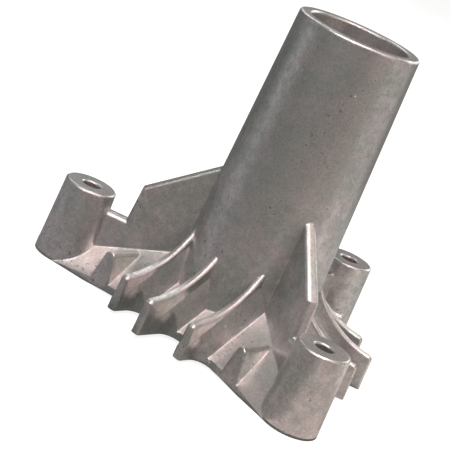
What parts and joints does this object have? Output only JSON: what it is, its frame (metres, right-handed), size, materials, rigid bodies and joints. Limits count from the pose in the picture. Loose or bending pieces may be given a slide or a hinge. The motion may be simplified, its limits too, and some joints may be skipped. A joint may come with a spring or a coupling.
{
  "type": "spindle housing",
  "caption": "Die-cast mower spindle housing: a tapered tube with bearing seats, braced by gussets on a waisted, finned base with screw bosses at its corners.",
  "frame": {"origin": "on the bore axis, in the plane of the base, at the mouth of the lower bearing seat", "axes": "+Z along the bore axis from the base to the tube's top, -X through one screw boss"},
  "size_m": [0.141, 0.1462, 0.1298],
  "materials": {
    "cast_aluminium": "bare die-cast aluminium, dull and slightly mottled, with edges rubbed bright"
  },
  "bodies": {
    "root": {"spindle_housing": "cast_aluminium"}
  },
  "joints": []
}
